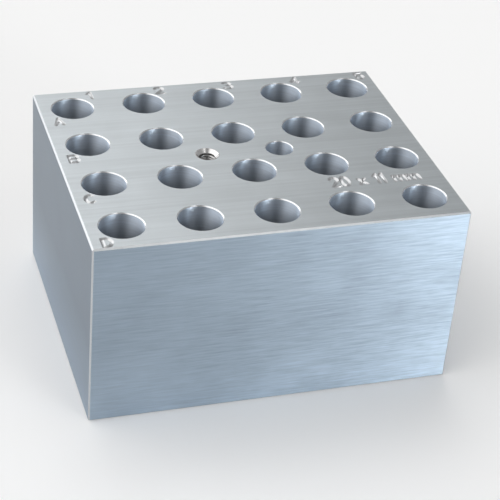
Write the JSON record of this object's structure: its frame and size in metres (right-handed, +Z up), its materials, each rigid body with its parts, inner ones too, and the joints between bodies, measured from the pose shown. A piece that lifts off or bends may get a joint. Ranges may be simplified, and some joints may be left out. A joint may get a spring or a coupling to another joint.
{
  "type": "dry bath heating block",
  "caption": "Rectangular machined aluminium block with a grid of drilled tube wells, a thermometer well and a threaded lifting insert, made to stand on the hot plate of a dry bath.",
  "frame": {"origin": "middle of the block's underside", "axes": "+Z up, +X along the rows towards the last numbered column, -Y the front face"},
  "size_m": [0.0952, 0.0762, 0.0508],
  "materials": {
    "brushed_aluminium": "satin",
    "insert_steel": "satin"
  },
  "bodies": {
    "root": {"heating_block": "brushed_aluminium", "lifting_thread_insert": "insert_steel"}
  },
  "joints": []
}
